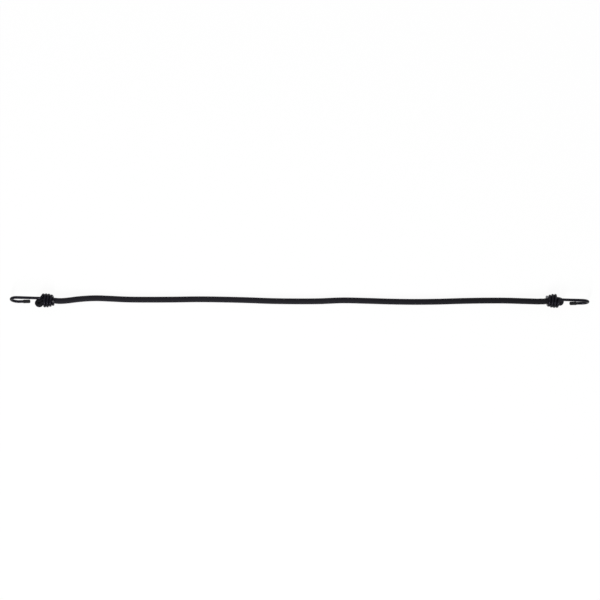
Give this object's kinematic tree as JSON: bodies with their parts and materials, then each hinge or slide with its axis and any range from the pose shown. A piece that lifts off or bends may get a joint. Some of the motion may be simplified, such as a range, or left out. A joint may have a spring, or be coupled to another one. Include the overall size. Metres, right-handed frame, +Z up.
{
  "type": "bungee cord",
  "caption": "Straight elastic cord in a black braided sheath, its ends folded back and gripped in the tapered coils of black wire hooks with capped tips.",
  "frame": {"origin": "on the floor, midway between the two hooks, under the line of the coils' axes", "axes": "+X along the cord towards the right hook, +Y away from the viewer across the cord, +Z up"},
  "size_m": [0.8996, 0.0215, 0.0213],
  "materials": {
    "braided_sheath": "braided black polyester",
    "rubber_thread": "natural latex thread",
    "coated_wire": "glossy black coating on steel wire",
    "vinyl_cap": "soft black vinyl"
  },
  "bodies": {
    "cord": {"cord_sheath": "braided_sheath", "rubber_thread_1": "rubber_thread", "rubber_thread_2": "rubber_thread", "rubber_thread_3": "rubber_thread", "rubber_thread_4": "rubber_thread", "rubber_thread_5": "rubber_thread", "rubber_thread_6": "rubber_thread", "rubber_thread_7": "rubber_thread", "left_fold_sheath": "braided_sheath"},
    "right_cord_end": {"right_fold_sheath": "braided_sheath"},
    "left_hook": {"left_hook_wire": "coated_wire", "left_tip_cap": "vinyl_cap"},
    "right_hook": {"right_hook_wire": "coated_wire", "right_tip_cap": "vinyl_cap"}
  },
  "joints": [
    {"name": "cord_stretch", "type": "slide", "parent": "cord", "child": "right_cord_end", "axis": [1, 0, 0], "range_m": [0, 0.6], "stiffness_N_per_m": 270, "deforming": ["cord_sheath", "rubber_thread_1", "rubber_thread_2", "rubber_thread_3", "rubber_thread_4", "rubber_thread_5", "rubber_thread_6", "rubber_thread_7"]},
    {"name": "left_hook_turn", "type": "hinge", "parent": "cord", "child": "left_hook", "pos_m": [-0.39, 0, 0.01032], "axis": [1, 0, 0], "range_deg": [-60, 45]},
    {"name": "right_hook_turn", "type": "hinge", "parent": "right_cord_end", "child": "right_hook", "pos_m": [0.39, 0, 0.01032], "axis": [1, 0, 0], "range_deg": [-120, 50]}
  ]
}
